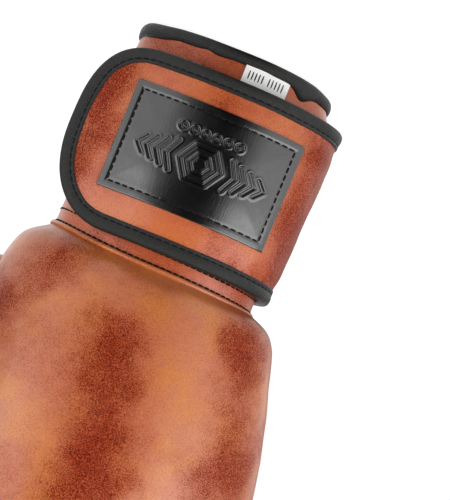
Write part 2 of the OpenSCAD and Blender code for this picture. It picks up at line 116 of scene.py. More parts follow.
def spow(v, p):
    """A power that keeps the sign."""
    return np.sign(v) * np.abs(v) ** p


def unit(vectors):
    """Each row scaled to length 1."""
    return vectors / np.linalg.norm(vectors, axis=-1, keepdims=True)


def heading(path):
    """Unit direction of a path at each of its points."""
    return unit(np.gradient(path, axis=0))


def run_along(path):
    """Distance along a path at each of its points."""
    return np.append(0, np.cumsum(np.linalg.norm(np.diff(path, axis=0), axis=1)))


def sideways(along):
    """Level directions to the right of these: outwards, on a path that runs by rising angle."""
    return np.column_stack([along[:, 1], -along[:, 0], np.zeros(len(along))])


def apart_from(points, line):
    """Each point's distance to the nearest point of a line."""
    return np.linalg.norm(points[:, None, :] - line[None, :, :], axis=2).min(1)


def oval(angle, w, d, n=OVAL):
    """Points of an oval with half axes w and d, by angle in degrees from +X by +Y."""
    a = np.radians(angle)
    return np.stack([w * spow(np.cos(a), 2 / n), d * spow(np.sin(a), 2 / n)], -1)


def oval_normal(angle, w, d, n=OVAL):
    """Outward unit normals of the same oval."""
    a = np.radians(angle)
    return unit(np.stack([spow(np.cos(a), 2 - 2 / n) / w, spow(np.sin(a), 2 - 2 / n) / d], -1))


def wobble(points, size, seed=0.0):
    """Smooth noise from -1 to 1 at each point, with features about this size in millimetres."""
    return np.array([noise.noise(Vector(p) / size + Vector((seed, 0, 0))) for p in points])


def grid_faces(rows, cols, closed=False, start=0):
    """Quads of a grid whose points are numbered row by row. closed joins the last column to the first."""
    faces = []
    for r in range(rows - 1):
        for c in range(cols if closed else cols - 1):
            d = (c + 1) % cols
            a = start + r * cols
            faces.append((a + c, a + d, a + cols + d, a + cols + c))
    return faces


def lidded_faces(rows, cols, closed=True, start=0):
    """The same grid with a lid at each end."""
    last = start + (rows - 1) * cols
    lids = [tuple(range(start, start + cols)), tuple(reversed(range(last, last + cols)))]
    return grid_faces(rows, cols, closed, start) + lids


def shell(rings, top, bottom):
    """Points and faces of a closed shell: rings from the bottom up, with a point at each end."""
    cols = len(rings[0])
    points = np.concatenate(rings + [[top, bottom]])
    faces = grid_faces(len(rings), cols, closed=True)
    last = (len(rings) - 1) * cols
    faces += [(last + c, last + (c + 1) % cols, len(points) - 2) for c in range(cols)]
    faces += [((c + 1) % cols, c, len(points) - 1) for c in range(cols)]
    return points, faces


def sheet(front, back):
    """Points and faces of two grids of the same size, back to back."""
    rows, cols = front.shape[:2]
    faces = grid_faces(rows, cols) + [f[::-1] for f in grid_faces(rows, cols, start=rows * cols)]
    return np.concatenate([front.reshape(-1, 3), back.reshape(-1, 3)]), faces


def add_piece(name, points, faces, *materials, face_slots=None):
    """A smooth-shaded mesh object from points in millimetres."""
    mesh = bpy.data.meshes.new(name)
    mesh.from_pydata([tuple(p) for p in np.asarray(points, float) * MM], [], faces)
    for material in materials:
        mesh.materials.append(material)
    if face_slots is not None:
        mesh.polygons.foreach_set("material_index", face_slots)
    mesh.polygons.foreach_set("use_smooth", [True] * len(mesh.polygons))
    mesh.update()
    obj = bpy.data.objects.new(name, mesh)
    bpy.context.scene.collection.objects.link(obj)
    return obj


@contextmanager
def edited(obj):
    """obj's mesh as a bmesh, written back at the end of the with block."""
    bm = bmesh.new()
    bm.from_mesh(obj.data)
    yield bm
    bm.to_mesh(obj.data)
    bm.free()


def face_outwards(obj):
    with edited(obj) as bm:
        bmesh.ops.recalc_face_normals(bm, faces=bm.faces)


def bake(obj):
    """Keeps what the modifiers show as the object's own mesh."""
    dg = bpy.context.evaluated_depsgraph_get()
    mesh = bpy.data.meshes.new_from_object(obj.evaluated_get(dg))
    obj.modifiers.clear()
    obj.data = mesh
    mesh.polygons.foreach_set("use_smooth", [True] * len(mesh.polygons))


def remesh(obj, size):
    """Even faces of about this size in place of obj's own."""
    modifier = obj.modifiers.new("even", "REMESH")
    modifier.mode, modifier.voxel_size = "VOXEL", size * MM
    bake(obj)


def subdivide(obj):
    modifier = obj.modifiers.new("fine", "SUBSURF")
    modifier.levels = modifier.render_levels = 1
    bake(obj)


def coordinates(obj):
    """The mesh's points in millimetres."""
    flat = np.empty(len(obj.data.vertices) * 3)
    obj.data.vertices.foreach_get("co", flat)
    return flat.reshape(-1, 3) / MM


def set_coordinates(obj, points):
    obj.data.vertices.foreach_set("co", (np.asarray(points) * MM).ravel())
    obj.data.update()


def bend(objs):
    """Bakes each piece's placement into its own mesh."""
    for obj in objs:
        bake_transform(obj)


def inflate(obj, held, pressure, cap):
    """Cloth simulation: obj puffs out between its held points, none moving further than cap."""
    frames, slack = 20, 0.015
    before = coordinates(obj)
    group = obj.vertex_groups.new(name="held")
    group.add([int(i) for i in np.flatnonzero(held)], 1.0, "REPLACE")
    cloth = obj.modifiers.new("puff", "CLOTH")
    cloth.point_cache.frame_start = 1
    cloth.point_cache.frame_end = frames
    leather = dict(quality=6, mass=0.2, tension_stiffness=12, compression_stiffness=12,
                   bending_stiffness=0.6, air_damping=4, use_pressure=True,
                   uniform_pressure_force=pressure, shrink_min=-slack, vertex_group_mass="held")
    for key, value in leather.items():
        setattr(cloth.settings, key, value)
    cloth.settings.effector_weights.gravity = 0
    cloth.collision_settings.use_collision = False
    for f in range(1, frames + 1):
        bpy.context.scene.frame_set(f)
    bake(obj)
    bpy.context.scene.frame_set(1)
    move = coordinates(obj) - before
    length = np.linalg.norm(move, axis=1, keepdims=True)
    set_coordinates(obj, before + move * np.minimum(1, cap / np.maximum(length, 1e-9)))


def relax(obj, rounds):
    """Evens out small bumps."""
    with edited(obj) as bm:
        for _ in range(rounds):
            bmesh.ops.smooth_vert(bm, verts=bm.verts, factor=0.5,
                                  use_axis_x=True, use_axis_y=True, use_axis_z=True)


def keep_above(obj, z):
    """Deletes the faces whose centre is below this height."""
    with edited(obj) as bm:
        gone = [f for f in bm.faces if f.calc_center_median().z / MM <= z]
        bmesh.ops.delete(bm, geom=gone, context="FACES")


def tube(path, radius, sides=8, closed=False):
    """Points and faces of a round cord along a path."""
    path = np.asarray(path, float)
    n = len(path)
    along = unit(np.roll(path, -1, 0) - np.roll(path, 1, 0)) if closed else heading(path)
    side = np.cross(along[0], [0.31, 0.17, 0.93])
    rings = []
    for i in range(n):
        side = unit(side - along[i] * (side @ along[i]))
        up = np.cross(along[i], side)
        turn = np.radians(np.arange(sides) * 360 / sides)[:, None]
        rings.append(path[i] + radius * (side * np.cos(turn) + up * np.sin(turn)))
    faces = grid_faces(n, sides, closed=True)
    if closed:
        last = (n - 1) * sides
        faces += [(last + c, last + (c + 1) % sides, (c + 1) % sides, c) for c in range(sides)]
    else:
        faces.append(tuple(reversed(range(sides))))
        faces.append(tuple((n - 1) * sides + c for c in range(sides)))
    return np.concatenate(rings), faces


def evenly(path, step, closed=False):
    """The path's points set out again at an even step."""
    path = np.asarray(path, float)
    if closed:
        path = np.vstack([path, path[:1]])
    run = run_along(path)
    at = np.linspace(0, run[-1], max(2, int(round(run[-1] / step)) + 1))
    points = np.stack([np.interp(at, run, column) for column in path.T], -1)
    return points[:-1] if closed else points


def add_stitches(name, starts, ends, normals, width=0.75, height=0.45):
    """One mesh of raised black stitches, each a small rounded bar from start to end on a surface."""
    shape = [(0.0, 0.35), (0.14, 0.85), (0.5, 1.0), (0.86, 0.85), (1.0, 0.35)]
    turns = np.radians([0, 45, 90, 135, 180])
    sunk = 0.12  # how deep each stitch sits in the leather
    points, faces = [], []
    for start, end, normal in zip(starts, ends, normals):
        faces += lidded_faces(len(shape), len(turns), closed=False, start=len(points))
        side = unit(np.cross(normal, end - start))
        for share, size in shape:
            centre = mix(start, end, share) - normal * sunk
            for turn in turns:
                wide, high = math.cos(turn) * width / 2, math.sin(turn) * height
                points.append(centre + side * wide * size + normal * high * size)
    return add_piece(name, points, faces, black_thread)


# ---------------- materials


class Shader:
    """A material or world under construction: node() adds a node; inputs are values or sockets."""

    def __init__(self, name, world=False):
        self.made = (bpy.data.worlds if world else bpy.data.materials).new(name)
        self.made.use_nodes = True
        self.tree = self.made.node_tree
        self.surface = self.tree.nodes["Background" if world else "Principled BSDF"]
        self.coords = self.node("TexCoord").outputs["Generated" if world else "Object"]

    def node(self, kind, settings=None, **inputs):
        """A shader node. Inputs go by name with _ for a space, or by number as i0, i1, ..."""
        made = self.tree.nodes.new("ShaderNode" + kind)
        for key, value in (settings or {}).items():
            setattr(made, key, value)
        for key, value in inputs.items():
            self.put(made, key.replace("_", " "), value)
        return made

    def put(self, node, key, value):
        numbered = key[0] == "i" and key[1:].isdigit()
        socket = node.inputs[int(key[1:])] if numbered else node.inputs[key]
        if isinstance(value, bpy.types.NodeSocket):
            self.tree.links.new(value, socket)
        else:
            socket.default_value = value

    def noise(self, size, detail=3.0):
        """Noise with features about this size in millimetres."""
        scale = 1 / (size * MM)
        return self.node("TexNoise", Vector=self.coords, Scale=scale, Detail=detail,
                         Roughness=0.55).outputs["Fac"]

    def step(self, value, low, high, to_low=0.0, to_high=1.0):
        """Goes softly from to_low to to_high as value goes from low to high."""
        made = self.node("MapRange", {"interpolation_type": "SMOOTHSTEP"}, Value=value,
                         From_Min=low, From_Max=high, To_Min=to_low, To_Max=to_high)
        return made.outputs["Result"]

    def maths(self, operation, a, b=0.0):
        return self.node("Math", {"operation": operation}, i0=a, i1=b).outputs[0]

    def plus(self, a, b):
        return self.maths("ADD", a, b)

    def times(self, a, b):
        return self.maths("MULTIPLY", a, b)

    def band(self, slant, offset, width, start):
        """1 along the line x + slant * z = offset above z = start, fading to 0 at width (millimetres)."""
        split = self.node("SeparateXYZ", Vector=self.coords)
        line = self.plus(split.outputs["X"], self.times(split.outputs["Z"], slant))
        stray = self.times(self.maths("SUBTRACT", self.noise(26, 1), 0.5), 0.4 * width * MM)
        away = self.maths("ABSOLUTE", self.plus(self.maths("SUBTRACT", line, offset * MM), stray))
        begun = self.step(split.outputs["Z"], (start - 15) * MM, (start + 15) * MM)
        return self.times(self.step(away, 0.0, width * MM, 1.0, 0.0), begun)

    def blend(self, share, a, b):
        """A colour between a (share 0) and b (share 1)."""
        return self.node("Mix", {"data_type": "RGBA"}, i0=share, i6=a, i7=b).outputs[2]

    def bump(self, height, depth, strength=1.0, normal=None):
        """A normal bent by height, depth millimetres deep, on top of an earlier normal."""
        made = self.node("Bump", Height=height, Distance=depth * MM, Strength=strength)
        if normal is not None:
            self.put(made, "Normal", normal)
        return made.outputs["Normal"]

    def finish(self, **inputs):
        """Sets the surface's inputs and gives the material or world."""
        for key, value in inputs.items():
            self.put(self.surface, key.replace("_", " "), value)
        return self.made


def srgb(*screen):
    """A colour in linear light from its 0-255 screen values."""
    shares = [v / 255 for v in screen]
    linear = [v / 12.92 if v <= 0.04045 else ((v + 0.055) / 1.055) ** 2.4 for v in shares]
    return (*linear, 1.0)


def scaled(colour, factor, extra=0.0):
    """A lighter or darker copy of a colour."""
    return tuple(min(1.0, c * factor + extra) for c in colour[:3]) + (1.0,)


def leather_material(name, light, golden, dark, deep, blotch=30, bands=(), tone_shift=0.0):
    """Waxed leather: random darker blotches and soft bands of painted shade, stippled dark red, on a pebbled
    grain.
    """
    m = Shader(name)
    # the random blotches are the leather's own darker tone; the bands added below are painted shade; the
    # tone shift at the start darkens the whole piece evenly
    blotch_and_shade = m.step(m.noise(blotch, 1), 0.36, 0.68, tone_shift, tone_shift + 0.35)
    blotch_and_shade = m.plus(blotch_and_shade, m.times(m.step(m.noise(7, 1), 0.3, 0.7), 0.16))
    # painted shade and painted dark reflections: each band darkens the leather along a line
    for slant, offset, width, start, strength in bands:
        blotch_and_shade = m.plus(blotch_and_shade, m.times(m.band(slant, offset, width, start), strength))
    blotch_and_shade = m.step(blotch_and_shade, 0.0, 1.45)
    dots = m.step(m.plus(m.noise(0.5, 2), m.times(blotch_and_shade, 0.1)), 0.4, 0.72)
    dots = m.times(dots, m.step(blotch_and_shade, 0.0, 0.9, 0.36, 0.95))
    colour = m.blend(m.step(m.noise(20, 2), 0.42, 0.66), light, golden)
    colour = m.blend(blotch_and_shade, colour, dark)
    colour = m.blend(dots, colour, deep)
    grain = m.node("TexVoronoi", {"feature": "DISTANCE_TO_EDGE"}, Vector=m.coords, Scale=1 / (1.0 * MM))
    normal = m.bump(m.step(grain.outputs["Distance"], 0.0, 0.3), 0.05, 0.3)
    normal = m.bump(m.noise(0.45, 2), 0.08, 0.5, normal)
    normal = m.bump(m.noise(9, 3), 0.4, 0.3, normal)
    rough = m.step(blotch_and_shade, 0.0, 1.0, 0.31, 0.42)
    gloss = m.step(m.plus(blotch_and_shade, dots), 0.0, 1.4, 0.6, 0.08)
    return m.finish(Base_Color=colour, Roughness=rough, Normal=normal, Specular_IOR_Level=gloss)


def patch_material():
    """Polished black leather with a fine upright grain."""
    m = Shader("patch_leather")
    cloud = m.noise(11, 3)
    colour = m.blend(m.step(cloud, 0.3, 0.7), srgb(6, 6, 6), srgb(11, 11, 10))
    stretched = m.node("Mapping", Vector=m.coords, Scale=(1.0, 1.0, 0.12))
    fibres = m.node("TexNoise", Vector=stretched.outputs[0], Scale=1 / (0.5 * MM), Detail=2.0)
    normal = m.bump(fibres.outputs["Fac"], 0.07, 0.7)
    return m.finish(Base_Color=colour, Roughness=m.step(cloud, 0.2, 0.8, 0.15, 0.2), Normal=normal,
                    Specular_IOR_Level=1.0)


def cloth_material(name, colour, thread, roughness, gloss=0.3, depth=0.08):
    """Woven cloth: warp and weft ribs of the thread's width, with a painted sheen on the rib crests in
    uneven patches.
    """
    m = Shader(name)
    ribs = []
    for direction in ("X", "Z"):
        wave = m.node("TexWave", {"bands_direction": direction}, Vector=m.coords,
                      Scale=0.314 / (thread * MM), Distortion=0.6, Detail=1.0)
        ribs.append(wave.outputs["Fac"])
    weave = m.times(ribs[0], ribs[1])
    # painted sheen: in patches, the rib crests take a lighter copy of the colour
    tone_shift = m.times(weave, m.step(m.noise(1.2, 3), 0.3, 0.7))
    shade = m.blend(tone_shift, colour, scaled(colour, 1.9, 0.003))
    uneven = m.step(m.noise(3), 0.3, 0.7, roughness - 0.06, roughness + 0.06)
    return m.finish(Base_Color=shade, Roughness=uneven, Normal=m.bump(weave, depth, 0.6),
                    Specular_IOR_Level=gloss)


def thread_material(name, colour):
    """Twisted thread: slanted strands along each stitch."""
    m = Shader(name)
    wave = m.node("TexWave", {"bands_direction": "DIAGONAL"}, Vector=m.coords, Scale=0.314 / (0.35 * MM))
    # painted sheen: the strands' crests take a lighter copy of the colour
    shade = m.blend(wave.outputs["Fac"], colour, scaled(colour, 2, 0.002))
    return m.finish(Base_Color=shade, Roughness=0.7, Normal=m.bump(wave.outputs["Fac"], 0.08, 0.6),
                    Specular_IOR_Level=0.15)


def pile_material(name, colour, size, depth, roughness):
    """Loops or hooks of a closure tape: a dense field of small knobs."""
    m = Shader(name)
    cells = m.node("TexVoronoi", Vector=m.coords, Scale=1 / (size * MM))
    knob = m.step(cells.outputs["Distance"], 0.15, 0.6, 1.0, 0.0)
    # painted shade: between the knobs the colour drops to a darker copy at half its value
    shade = m.blend(knob, scaled(colour, 0.5), colour)
    return m.finish(Base_Color=shade, Roughness=roughness, Normal=m.bump(knob, depth, 0.8))


# each band of painted shade: slant, offset, width, start (millimetres) and strength
# the body's bands: a painted dark reflection down its middle, between the two softboxes' highlights, and
# painted shade on its little finger and thumb sides
BODY_SHADE_BANDS = (
    (0.19, 26.4, 30.0, SEAM_Z + 24, 0.78),
    (0.19, -28.0, 25.0, SEAM_Z + 6, 0.65),
    (-0.42, -4.9, 24.0, SEAM_Z, 0.6),
)
# the strap's bands: painted shade at its thumb-side end and its little finger side, and a painted dark
# reflection in its middle, beside the softboxes' highlights
STRAP_SHADE_BANDS = (
    (0.0, 46.0, 20.0, -50.0, 0.66),
    (0.33, 3.3, 15.0, -50.0, 0.5),
    (0.0, -50.0, 17.0, -50.0, 0.75),
)
dark_browns = (srgb(164, 61, 30), srgb(86, 18, 7))
body_leather = leather_material("body_leather", srgb(190, 109, 69), srgb(198, 118, 56), *dark_browns,
                                bands=BODY_SHADE_BANDS)
strap_leather = leather_material("strap_leather", srgb(192, 98, 58), srgb(194, 102, 46), *dark_browns,
                                 blotch=24, bands=STRAP_SHADE_BANDS)
cuff_leather = leather_material("cuff_leather", srgb(190, 94, 54), srgb(188, 92, 44), *dark_browns,
                                tone_shift=0.22)
patch_leather = patch_material()
binding_tape = cloth_material("binding_tape", srgb(31, 31, 30), thread=0.9,
                             roughness=0.55, gloss=0.25, depth=0.2)
lining_cloth = cloth_material("lining_cloth", srgb(40, 40, 42), thread=0.5, roughness=0.8)
elastic = cloth_material("elastic", srgb(26, 26, 27), thread=1.1, roughness=0.7, depth=0.25)
label_cloth = cloth_material("label_cloth", srgb(250, 250, 247), thread=0.25, roughness=0.7, depth=0.03)
black_thread = thread_material("black_thread", srgb(9, 9, 9))
loop_pile = pile_material("loop_pile", srgb(30, 30, 31), 0.8, 0.4, 0.9)
hook_pile = pile_material("hook_pile", srgb(28, 28, 28), 1.4, 0.5, 0.5)


# ---------------- fist


def seam_shift(angle):
    """How far the wrist seam strays from its flat height: highest on the little finger side."""
    side = np.cos(np.radians(angle))
    return 1.9 - side - 3.9 * np.maximum(side, 0) ** 2


# how far the fist reaches at its fullest: little finger side, thumb side, back and fingers
LITTLE_REACH = -fist_low[0] - 0.3
THUMB_REACH = 62.5
BACK_REACH = -fist_low[1] - 0.5
FINGER_REACH = fist_high[1] - 0.5
DOME_Z = 88.0  # the knuckles' dome starts this far above the seam
TUCK = 6.0  # the fist's skin runs this far down inside the cuff


def fist_surface(angle, z, narrow):
    """Points of the fist's skin, z above the wrist seam. narrow draws the section in at the knuckles."""
    turn = (angle + 180) % 360 - 180
    recess = 15.0 * smooth((z - 40) / 26) * (1 - smooth((z - 118) / 34))
    recess = recess * smooth((turn + 36) / 34) * (1 - smooth((turn - 18) / 34))

    def side(start, jump, reach, full, width):
        """A side that jumps out above the seam and then swells to its full width at height full."""
        swell = np.sin(np.pi / 2 * np.clip(z / full, 0, 1))
        return start + jump * ease(z, reach) + (width - start - jump) * swell

    little = side(SEAM_W, 11.5, 2.2, 105, LITTLE_REACH)
    thumb = SEAM_W + 9.5 * ease(z, 4) + (THUMB_REACH - SEAM_W - 9.5) * ease(z, 16) - recess
    back = side(SEAM_D, 7, 6, 100, BACK_REACH)
    heel = 5 * ease(z, 5) - 3.5 * hump(z, 66, 20)
    crease = -4 * hump(z, 83, 6)
    palm = SEAM_D + heel + crease + (FINGER_REACH - SEAM_D - 5) * smooth((z - 80) / 22)
    tucked = np.clip(-z / TUCK, 0, 1) * 5
    w = np.where(np.cos(np.radians(angle)) > 0, thumb, little) - tucked
    d = np.where(np.sin(np.radians(angle)) > 0, palm, back) - tucked
    xy = oval(angle, w, d, FIST_OVAL) * np.asarray(narrow)[..., None]
    shift = seam_shift(angle) * np.exp(-np.maximum(z, 0) / 60) * (narrow > 0.98)
    return np.concatenate([xy, (SEAM_Z + z + shift)[..., None]], -1)


# the palm panel: its middle and half its width, in degrees, and its top above the wrist seam
PALM_MID, PALM_HALF, PALM_TOP = 102.0, 54.0, 83.0


def palm_seam(share):
    """The palm panel's seam, from the wrist on the thumb side (0) over the top to the other side (1)."""
    a = np.pi * (1 - np.cos(np.pi * np.asarray(share))) / 2
    angle = PALM_MID - PALM_HALF * spow(np.cos(a), 2 / 5)
    z = PALM_TOP * spow(np.sin(a), 2 / 5)
    return fist_surface(angle, z, np.ones_like(z))


def build_fist():
    """The fist's leather, blown up between the wrist and the palm seam."""
    angles = np.arange(0, 360, 4.0)
    knuckles = FIST_H - 3
    low = np.concatenate([[-TUCK, -3, 0, 1.5], np.arange(4, DOME_Z, 4)])
    dome = np.radians(np.arange(0, 88, 6.0))
    heights = np.concatenate([low, mix(DOME_Z, knuckles, np.sin(dome) ** (2 / FIST_OVAL))])
    narrows = np.concatenate([np.ones(len(low)), np.cos(dome) ** (2 / FIST_OVAL)])
    rings = [fist_surface(angles, np.full_like(angles, z), np.full_like(angles, k))
             for z, k in zip(heights, narrows)]
    points, faces = shell(rings, [0, 0, SEAM_Z + knuckles], [0, 0, SEAM_Z - TUCK])
    fist = add_piece("fist_leather", points, faces, body_leather)
    face_outwards(fist)
    remesh(fist, 4)
    skin = coordinates(fist)
    seam = palm_seam(np.linspace(0, 1, 160))
    held = (skin[:, 2] < SEAM_Z + 1.5) | (apart_from(skin, seam) < 3.2)
    inflate(fist, held, pressure=12, cap=5)
    relax(fist, 2)
    keep_above(fist, SEAM_Z - TUCK + 0.8)
    subdivide(fist)
    pull_in(fist, seam, depth=2.0, width=3.5)
    return fist


def pull_in(obj, seam, depth, width):
    """Draws the skin in along a sewn seam."""
    skin = coordinates(obj)
    normals = np.array([v.normal for v in obj.data.vertices])
    drawn = depth * hump(apart_from(skin, seam), 0, width)
    set_coordinates(obj, skin - normals * drawn[:, None])


def lie_on(obj, path, lift):
    """The path moved onto obj's skin, lift above it."""
    mesh = obj.data
    tree = BVHTree.FromPolygons([v.co / MM for v in mesh.vertices], [p.vertices for p in mesh.polygons])
    laid, normals = [], []
    for p in path:
        place, normal, _, _ = tree.find_nearest(Vector(p))
        laid.append(np.array(place + normal * lift))
        normals.append(np.array(normal))
    return np.array(laid), np.array(normals)


def build_palm_seam(fist):
    """Piping along the palm panel's seam, and a row of stitches inside it."""
    seam = palm_seam(np.linspace(0, 1, 160))
    path, _ = lie_on(fist, evenly(seam, 2.5), 0.4)
    welt = add_piece("palm_piping", *tube(path, 1.35), body_leather)
    inset = seam + 4.2 * unit(seam.mean(0) - seam)
    row, normals = lie_on(fist, evenly(inset[3:-3], 3.6), 0.0)
    half = heading(row) * 1.25
    stitches = add_stitches("palm_seam_stitches", row - half, row + half, normals)
    return welt, stitches


# ---------------- thumb

THUMB_FOOT = np.array([60.0, 13.0, SEAM_Z + 15])
THUMB_END = np.array([70.5, 20.0, thumb_high[2] + 1])
THUMB_SEAM = 50.0  # the seam's place round the thumb, in degrees


def thumb_surface(angle, t):
    """Points of the thumb's skin, by angle round its axis and by t from -90 (foot) to 90 (tip)."""
    rise = (1 + spow(np.sin(np.radians(t)), 2 / 2.4)) / 2
    narrow = np.cos(np.radians(t)) ** (2 / 2.5)
    taper = mix(0.9, 1.0, smooth(rise * 2)) - 0.1 * smooth((rise - 0.5) * 2)
    xy = oval(angle, 20.5, 24.0, 2.2) * (narrow * taper)[..., None]
    lean = np.sin(np.pi * rise)[..., None] * np.array([5.5, -1.0, 0.0])
    axis = THUMB_FOOT + (THUMB_END - THUMB_FOOT) * rise[..., None] + lean
    return axis + np.concatenate([xy, np.zeros_like(rise)[..., None]], -1)


def thumb_seam(t):
    """The thumb's seam, up its back edge, over the tip and down its palm edge."""
    s = np.asarray(t) * 360 - 180
    up = s < 0
    angle = np.where(up, THUMB_SEAM + 180, THUMB_SEAM)
    return thumb_surface(angle, np.where(up, s + 90, 90 - s))


def build_thumb():
    """The thumb's leather, blown up between its seams."""
    angles = np.arange(0, 360, 8.0)
    rings = [thumb_surface(angles, np.full_like(angles, t)) for t in np.arange(-84, 85, 6.0)]
    points, faces = shell(rings, THUMB_END, THUMB_FOOT)
    thumb = add_piece("thumb_leather", points, faces, body_leather)
    face_outwards(thumb)
    remesh(thumb, 4)
    seam = thumb_seam(np.linspace(0.08, 0.92, 120))
    inflate(thumb, apart_from(coordinates(thumb), seam) < 2.8, pressure=10, cap=3)
    relax(thumb, 2)
    subdivide(thumb)
    pull_in(thumb, seam, depth=1.6, width=3)
    return thumb, seam


def build_tie(fist, thumb):
    """A leather band sewn at one end to the fist and at the other to the thumb."""
    height, thickness = 13.0, 0.9
    z = thumb_high[2] - 27
    start, end = np.array([36.0, 48.0, z]), np.array([75.0, 42.0, z])
    across = [mix(start, end, k) for k in np.linspace(0, 1, 25)]
    left, _ = lie_on(fist, across, thickness)
    right, _ = lie_on(thumb, across, thickness)
    share = smooth((np.linspace(0, 1, 25) - 0.3) / 0.4)[:, None]
    middle = mix(left, right, share)
    middle[:, 2] = z
    middle = evenly(middle, 1.2)
    for _ in range(30):
        middle[1:-1] = (middle[:-2] + 2 * middle[1:-1] + middle[2:]) / 4
    out = unit(np.cross(heading(middle), [0, 0, 1]))
    out *= np.sign(out[:, 1:2])
    section = [(-1, 0), (-0.96, 0.8), (-0.8, 1), (0, 1.15), (0.8, 1), (0.96, 0.8), (1, 0), (0.8, -0.6),
               (-0.8, -0.6)]
    ring = [(v * height / 2, w * thickness) for v, w in section]
    points = np.array([m + o * w + [0, 0, v] for m, o in zip(middle, out) for v, w in ring])
    tie = add_piece("thumb_tie_band", points, lidded_faces(len(middle), len(ring)), body_leather)
    face_outwards(tie)
    bend([tie])
    return tie


# ---------------- cuff

WALL = 8.6  # thickness of the cuff's padded wall
RIM_LEAN = 0.7  # how far the rim leans to the little finger side
SLIT = 10.0  # half the slit's width, in degrees, on the palm side
SLIT_LOW, SLIT_TOP = 62.0, 80.0  # the slit narrows between these heights
RIM_ANGLES = np.linspace(90 + SLIT, 450 - SLIT, 170)


def rim_height(angle):
    """The rim's sides sit a little higher than its back and palm, the little finger side most."""
    side = np.cos(np.radians(angle))
    return np.where(side > 0, 0.6 * side**2, 2.4 * side**4)


def cuff_skin(angle, z, lift=0.0):
    """Points of the cuff's leather, z above the rim."""
    z = np.full_like(angle, z)
    little = np.maximum(-np.cos(np.radians(angle)), 0) ** 2
    bulge = 4.5 * little * hump(z, 13, 7)
    grown = z / SEAM_Z
    w, d = mix(RIM_W, SEAM_W, grown) + lift + bulge, mix(RIM_D, SEAM_D, grown) + lift
    xy = oval(angle, w, d)
    xy[..., 0] -= RIM_LEAN * np.exp(-z / 30)
    return np.concatenate([xy, z[..., None]], -1)


def wall_loop(z):
    """The cuff wall's outline at one height: outer face, slit edge, lining, slit edge."""
    opening = SLIT * (1 - smooth((z - SLIT_LOW) / (SLIT_TOP - SLIT_LOW))) + 0.3
    share = (RIM_ANGLES - 270) / (180 - SLIT)
    angles = 270 + share * (180 - opening)
    puff = math.sin(math.pi * np.clip(z / SEAM_Z, 0, 1))
    outer = cuff_skin(angles, z, puff)
    thin = 2.0 * smooth((z - 80) / 14)
    inner = cuff_skin(angles, z, puff - WALL + thin)[::-1]

    def edge(a, b):
        """A rounded slit edge from a to b."""
        middle, half = (a + b) / 2, (a - b) / 2
        out = np.array([-half[1], half[0], 0])
        turns = np.radians(np.arange(18, 180, 18))[:, None]
        return middle + half * np.cos(turns) + out * np.sin(turns) * 0.8

    return np.concatenate([outer, edge(outer[-1], inner[0]), inner, edge(inner[-1], outer[0])])


def angle_round(points):
    """Each point's angle round the cuff, in degrees."""
    return np.degrees(np.arctan2(points[:, 1] / SEAM_D, points[:, 0] / SEAM_W))


def build_cuff():
    """The cuff's padded wall: leather outside, lining inside, open at the slit."""
    heights = np.concatenate([np.arange(2, SEAM_Z - 6, 3.0), [SEAM_Z - 5, SEAM_Z - 3, SEAM_Z - 1.2]])
    loops = []
    for z in heights:
        loop = wall_loop(z)
        angle = angle_round(loop)
        bottom, top = rim_height(angle) + 2, SEAM_Z + seam_shift(angle) - 1.2
        loop[:, 2] = mix(bottom, top, (z - 2) / (SEAM_Z - 3.2))
        loops.append(loop)
    cols = len(loops[0])
    points = np.concatenate(loops)
    points[:, :2] *= 1 + 0.006 * wobble(points, 22, 3.0)[:, None]
    faces = grid_faces(len(loops), cols, closed=True)
    outer_cols = len(RIM_ANGLES) + 4
    slots = [0 if (i % cols) < outer_cols or (i % cols) > cols - 7 else 1 for i in range(len(faces))]
    cuff = add_piece("cuff_leather", points, faces, cuff_leather, lining_cloth, face_slots=slots)
    face_outwards(cuff)
    return cuff


def build_rim_binding():
    """Rolled binding round the rim: down the outer face, under the wall and up the lining."""
    loop = wall_loop(3.0)
    along = np.roll(loop, -1, 0) - np.roll(loop, 1, 0)
    out = unit(sideways(along))
    base = rim_height(angle_round(loop)) + 0.4 + 0.4 * wobble(loop, 14, 9.0)
    seen = (loop[:, 1] < 0) & (np.arange(len(loop)) < len(RIM_ANGLES))
    fold = hump(loop[:, 0], -31, 3.5) * seen
    notch = hump(loop[:, 0], 12, 2.2) * seen
    thumb_end = smooth((loop[:, 0] - 22) / 16)
    lip = 5.4 + 1.0 * thumb_end + 0.6 * wobble(loop, 9, 5.0) + 3.6 * fold - 0.6 * notch
    fat = 1 + 0.14 * wobble(loop, 7, 8.0) + 0.5 * fold - 0.5 * notch
    profile = [(0.05, 1.02), (0.8, 1.0), (1.5, 0.86), (1.9, 0.6), (1.9, 0.38), (1.5, 0.18), (0.7, 0.05),
               (-0.8, 0.0), (-WALL / 2, 0.0)]
    rows = []
    for offset, rise in profile:
        grow = offset * np.where(offset > 0, fat, 1.0)
        row = loop + out * grow[:, None] if offset > -WALL / 2 else loop - out * (WALL / 2)
        row[:, 2] = base + rise * lip + 0.15
        rows.append(row)
    faces = grid_faces(len(rows), len(loop), closed=True)
    binding = add_piece("rim_binding", np.concatenate(rows), faces, binding_tape)
    face_outwards(binding)
    return binding


def build_wrist_seam():
    """The piped seam between cuff and fist, and the two stitch rows on its cuff side."""
    angles = np.arange(0, 360, 2.0)
    ring = cuff_skin(angles, SEAM_Z, 0.9)
    ring[:, 2] = SEAM_Z + seam_shift(angles) - 0.6
    ring = evenly(ring, 2.0, closed=True)
    welt = add_piece("wrist_piping", *tube(ring, 1.15, closed=True), body_leather)
    angles = np.arange(92, 450, 0.5)
    rows = []
    for below in (2.1, 7.5):
        row = cuff_skin(angles, SEAM_Z - below, 0.3)
        row[:, 2] += seam_shift(angles)
        rows.append(evenly(row, 2.9))
    along = np.vstack([heading(row) for row in rows])
    rows, half = np.vstack(rows), along * 1.25
    stitches = add_stitches("wrist_seam_stitches", rows - half, rows + half, sideways(along), 0.85, 0.45)
    return welt, stitches


